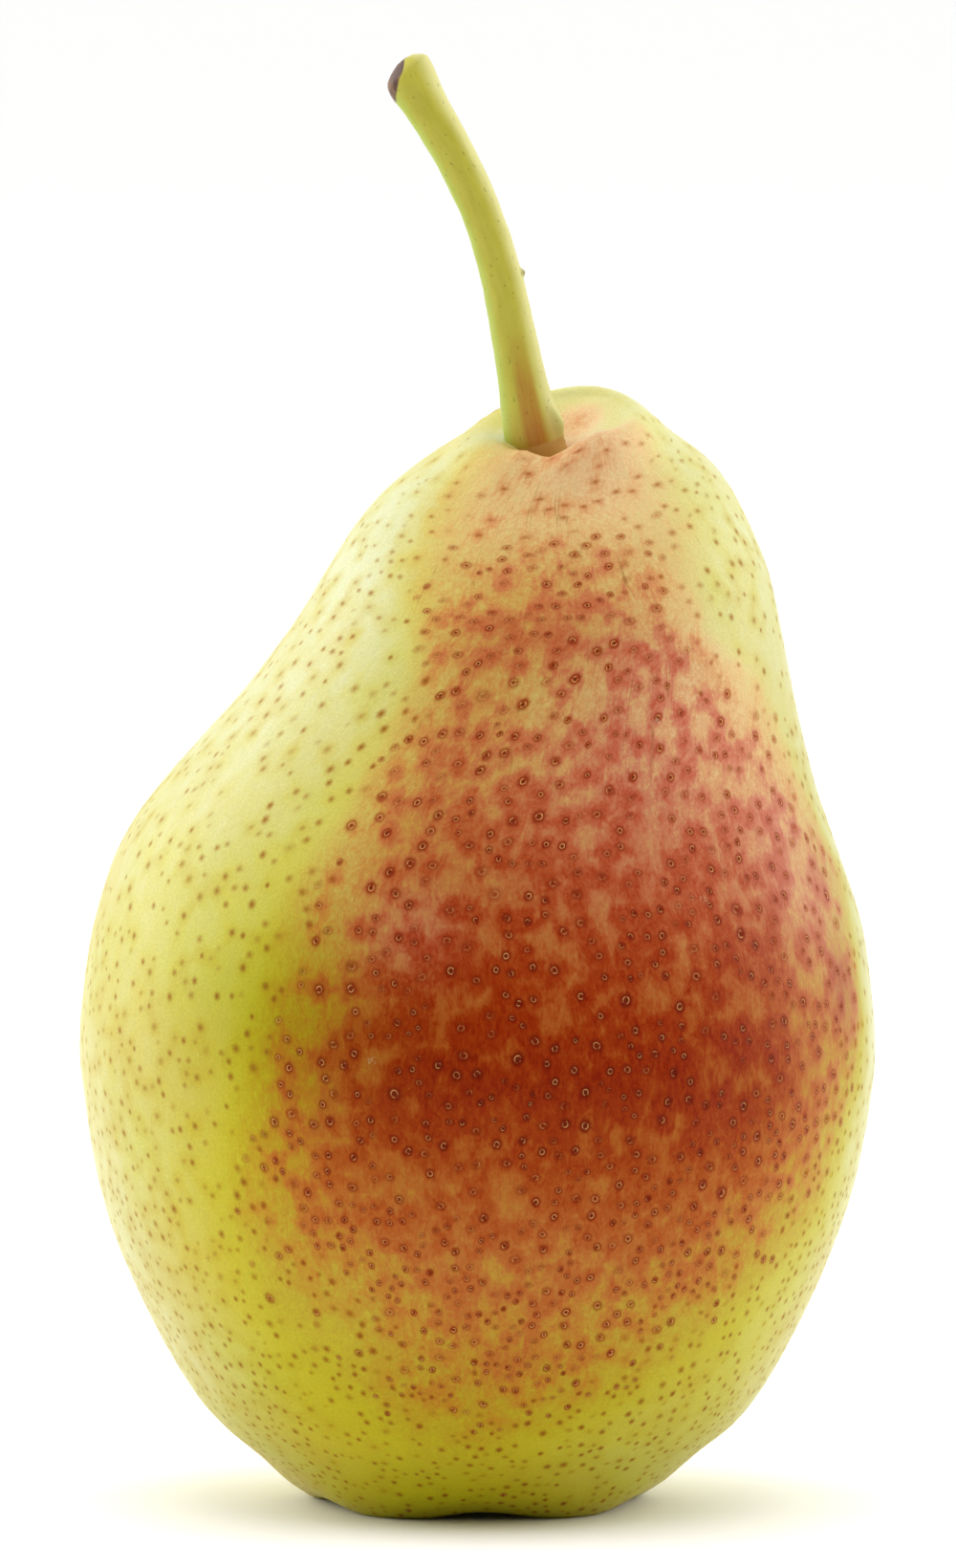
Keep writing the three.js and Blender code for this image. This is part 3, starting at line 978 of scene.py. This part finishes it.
def with_lenticels(n, skin, flow, blush, halo, pore, ringed):
    """Each lenticel has a soft halo and a dark centre, and in the blush a broken pale ring."""
    tone = n.attribute("pore_tone")
    shade = n.mix(ringed, n.mix(n.smooth(blush, 0.1, 0.4), PORE_BROWN, PORE_RUST), PORE_SHADE)
    strength = n.plus(n.either(ringed, HALO["plain_strength"], HALO["ringed_strength"]), n.times(tone, 0.8))
    quieter = n.minus(1.0, n.times(n.attribute("crown"), HALO["on_crown"]))
    skin = n.mix(n.times(n.times(halo, strength), quieter), skin, shade, "MULTIPLY")

    ring = n.times(n.smooth(pore, *RING["inside"]), n.minus(1.0, n.smooth(pore, *RING["outside"])))
    arcs = n.smooth(n.noise(flow, 0.35, 1.0), 0.35, 0.6)
    ring = n.times(n.times(ring, arcs), n.times(ringed, 0.95))
    strength = n.plus(n.either(blush, RING["on_green"], RING["on_red"]), n.times(tone, 0.5))
    skin = n.mix(n.times(ring, strength), skin, PORE_RING)

    centre = n.minus(1.0, n.smooth(pore, CENTRE["from"], n.either(ringed, CENTRE["plain"], CENTRE["ringed"])))
    dark = n.mix(ringed, PORE_CENTRE_PLAIN, PORE_CENTRE)
    return n.mix(n.times(centre, n.plus(CENTRE["strength"], n.times(tone, 0.8))), skin, dark)


def with_scars(n, skin, grain):
    coordinates = n.coordinates("Object")
    for degrees, level, size in SCARS:
        away = n.distance(coordinates, scar_place(degrees, level))
        scar = n.times(n.smooth(away, size * MM, 0.3 * size * MM), n.smooth(grain, 0.45, 0.6))
        skin = n.mix(n.times(scar, 0.4), skin, SCAR)
    return skin


def skin_material():
    n = Nodes("pear_skin")
    flow = n.attribute("flow", "Vector")
    lines = n.attribute("lines", "Vector")
    blush = n.attribute("blush")

    # Streaks run up and down the fruit, mottles are rounder, and the others are finer.
    streaks = n.noise(n.stretch(lines, 0.5), 1.4, 4.0, 0.58, 0.8)
    mottles = n.noise(n.stretch(flow, 0.7), 3.0, 3.0, 0.55)
    fibres = n.noise(n.stretch(flow, 0.25), 0.32, 2.0, 0.6)
    flecks = n.noise(n.stretch(flow, 0.6), 0.5, 2.0, 0.6, 1.0)
    grain = n.noise(flow, 0.2, 2.0, 0.6)

    green = green_ground(n, flow, streaks, mottles)
    speckle = n.plus(n.around(flecks, SPECKLE["flecks"]), n.around(fibres, SPECKLE["fibres"]))
    skin = with_blush(n, green, blush, blush_pattern(n, blush, streaks, mottles, speckle))
    # Darker in the dusky patches: partly a duller tone, partly painted shade.
    skin = n.mix(n.attribute("dusky_and_shade"), skin, DUSKY_AND_SHADE, "MULTIPLY")
    skin = n.mix(n.times(n.smooth(fibres, 0.35, 0.75), 0.12), skin, FIBRE, "MULTIPLY")
    skin = n.mix(1.0, skin, n.plus(1.0, n.around(grain, 0.4)), "MULTIPLY")
    skin = with_cracks(n, skin, lines, blush)

    pore = n.attribute("pore")
    ringed = n.attribute("pore_ringed")
    halo = lenticel_halo(n, pore, ringed)
    skin = with_lenticels(n, skin, flow, blush, halo, pore, ringed)
    skin = with_scars(n, skin, grain)

    rough = n.plus(n.plus(SKIN_ROUGHNESS, n.around(grain, 0.16)), n.times(halo, 0.2))
    return n.finish(skin, rough, n.bump(grain, 0.00003), Specular_IOR_Level=0.15, Specular_Tint=WAXY)


BARK = srgb("#aca432")
BARK_LIGHT = srgb("#b6ae3e")
BARK_GREEN = srgb("#9aac38")
BARK_PAINTED_LIGHT = srgb("#ccc888")
BARK_SPECK = srgb("#6e621a")
BARK_STREAK = srgb("#a45210")
BARK_FOOT_SHADE = srgb("#b48c4a")
BARK_FOLD = srgb("#c2c270")
CORK = srgb("#735233")
CORK_DARK = srgb("#452309")


def stem_material():
    n = Nodes("pear_stalk")
    flow = n.attribute("flow", "Vector")
    share = n.attribute("share")
    side = n.attribute("side")
    front = n.attribute("front")
    fibres = n.noise(n.stretch(flow, 0.15), 0.5, 3.0, 0.6)
    blotches = n.noise(n.stretch(flow, 0.5), 1.3)
    specks = n.noise(n.stretch(flow, 0.7), 0.33, 1.0)

    uneven = n.plus(n.times(fibres, 0.4), n.times(blotches, 0.6))
    bark = n.mix(n.smooth(uneven, 0.3, 0.7), BARK, BARK_LIGHT)
    bark = n.mix(n.times(n.smooth(side, -0.5, -0.95), 0.8), bark, BARK_GREEN)
    # The right side, which the light falls on, is painted paler: a painted highlight.
    bark = n.mix(n.times(n.smooth(side, 0.3, 0.95), 0.6), bark, BARK_PAINTED_LIGHT)
    bark = n.mix(n.times(n.smooth(specks, 0.68, 0.76), 0.6), bark, BARK_SPECK)

    # A rusty streak runs up the front from the foot, and the foot itself is a little rusty.
    streak = n.times(n.smooth(share, 0.36, 0.16), n.smooth(front, 0.86, 0.99))
    streak = n.times(streak, n.math("ADD", 0.6, n.around(fibres, 1.0), clamp=True))
    bark = n.mix(streak, bark, BARK_STREAK)
    low = n.times(n.smooth(share, 0.16, 0.06), n.smooth(front, 0.1, 0.9))
    bark = n.mix(n.times(low, 0.3), bark, BARK_STREAK)
    # The foot is painted the tan of the shaded flesh below it: painted shade.
    bark = n.mix(n.smooth(share, SHADED_FOOT_SHARE + 0.004, SHADED_FOOT_SHARE - 0.004), bark, BARK_FOOT_SHADE)
    bark = n.mix(n.times(n.attribute("fold"), 0.8), bark, BARK_FOLD)

    cork = n.mix(n.smooth(n.noise(flow, 0.9), 0.4, 0.6), CORK, CORK_DARK)
    ragged = n.smooth(n.plus(n.attribute("cork"), n.around(blotches, 0.7)), 0.35, 0.65)
    bark = n.mix(ragged, bark, cork)
    bark = n.mix(n.attribute("scar"), bark, BARK_SPECK)
    rough = n.plus(0.5, n.around(fibres, 0.2))
    return n.finish(bark, rough, n.bump(fibres, 0.00002), Specular_IOR_Level=0.3)


DRIED = srgb("#2c1a0e")
DRIED_LIGHT = srgb("#6a4a2a")
DRIED_TIP = srgb("#1c120a")


def dried_material():
    n = Nodes("pear_dried_calyx")
    mottle = n.noise(n.coordinates("Object"), 0.0007, 3.0, 0.6)
    color = n.mix(n.smooth(mottle, 0.3, 0.7), DRIED, DRIED_LIGHT)
    color = n.mix(n.smooth(n.attribute("share"), 0.7, 1.0), color, DRIED_TIP)
    return n.finish(color, 0.85, n.bump(mottle, 0.0001))


# ---------------------------------------------------------------- the stage, the lights and the camera

FLOOR = srgb("#fbfbfa")
FLOOR_EDGE = 6000
AIM = (0, 0, 60)
SENSOR = 36.0

# The dome's light: where it comes from, the edge between dim and bright, and its dim and bright strengths.
DOME_BRIGHT_SIDE = (0, 1, 0.75)
DOME_EDGE = (-0.6, 0.3)
DOME_STRENGTH = (0.08, 1.18)
# The softboxes, as (name, place, size, power in watts).
SOFTBOXES = [
    ("left_box", (-900, 400, 450), 800, 6.0),
    ("right_box", (900, 350, 450), 800, 4.5),
    ("top_box", (0, -250, 1100), 900, 4.5),
]


def make_floor():
    corners = [(x * FLOOR_EDGE, y * FLOOR_EDGE, 0) for x, y in ((-1, -1), (1, -1), (1, 1), (-1, 1))]
    floor = build_mesh("floor", corners, [(0, 1, 2, 3)], smooth=False)
    n = Nodes("floor_pale")
    floor.data.materials.append(n.finish(FLOOR, 0.8))


def look_at(thing, target):
    direction = Vector(target) * MM - thing.location
    thing.rotation_euler = direction.to_track_quat("-Z", "Y").to_euler()


def area_light(name, place, size, power):
    light = bpy.data.lights.new(name, "AREA")
    light.shape = "DISK"
    light.size = size * MM
    light.energy = power
    lamp = bpy.data.objects.new(name, light)
    lamp.location = Vector(place) * MM
    look_at(lamp, AIM)
    bpy.context.scene.collection.objects.link(lamp)


def light_world():
    """A dome that is white behind and above the fruit and dim in front of it, as a studio is."""
    world = bpy.data.worlds.new("studio")
    world.use_nodes = True
    tree = world.node_tree
    direction = tree.nodes.new("ShaderNodeTexCoord").outputs["Generated"]
    towards = tree.nodes.new("ShaderNodeVectorMath")
    towards.operation = "DOT_PRODUCT"
    towards.inputs[1].default_value = DOME_BRIGHT_SIDE
    share = tree.nodes.new("ShaderNodeMapRange")
    share.interpolation_type = "SMOOTHSTEP"
    share.inputs["From Min"].default_value, share.inputs["From Max"].default_value = DOME_EDGE
    share.inputs["To Min"].default_value, share.inputs["To Max"].default_value = DOME_STRENGTH
    tree.links.new(direction, towards.inputs[0])
    tree.links.new(towards.outputs["Value"], share.inputs["Value"])
    tree.links.new(share.outputs["Result"], tree.nodes["Background"].inputs["Strength"])
    tree.nodes["Background"].inputs["Color"].default_value = (1, 1, 1, 1)
    bpy.context.scene.world = world


def place_camera():
    camera = bpy.data.cameras.new("camera")
    camera.sensor_width = SENSOR
    camera.lens = SENSOR * CAMERA_DISTANCE / (PHOTO_HEIGHT_PX * MM_PER_PX)
    camera.clip_start = 0.01
    camera.clip_end = 50
    aim_x = (PHOTO_WIDTH_PX / 2 - AXIS_COLUMN_PX) * MM_PER_PX
    aim_z = (BASE_ROW_PX - PHOTO_HEIGHT_PX / 2) * MM_PER_PX / math.cos(CAMERA_ELEVATION)
    back = CAMERA_DISTANCE * math.cos(CAMERA_ELEVATION)
    up = CAMERA_DISTANCE * math.sin(CAMERA_ELEVATION)
    eye = bpy.data.objects.new("camera", camera)
    eye.location = Vector((aim_x, -back, aim_z + up)) * MM
    look_at(eye, (aim_x, 0, aim_z))
    bpy.context.scene.collection.objects.link(eye)
    bpy.context.scene.camera = eye
    bpy.context.scene.view_settings.view_transform = "Standard"


# ---------------------------------------------------------------- putting it together

def place_piece(piece, node, material):
    piece.data.materials.append(material)
    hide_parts(node)
    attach(piece, "root")


place_camera()
light_world()
for softbox in SOFTBOXES:
    area_light(*softbox)
make_floor()
place_piece(make_fruit(), "fruit", skin_material())
place_piece(make_stem(), "stem", stem_material())
dried = dried_material()
for index in range(SEPALS):
    place_piece(make_sepal(index), f"sepal_{index + 1}", dried)
for index in range(STAMENS):
    place_piece(make_stamen(index), f"stamen_{index + 1}", dried)
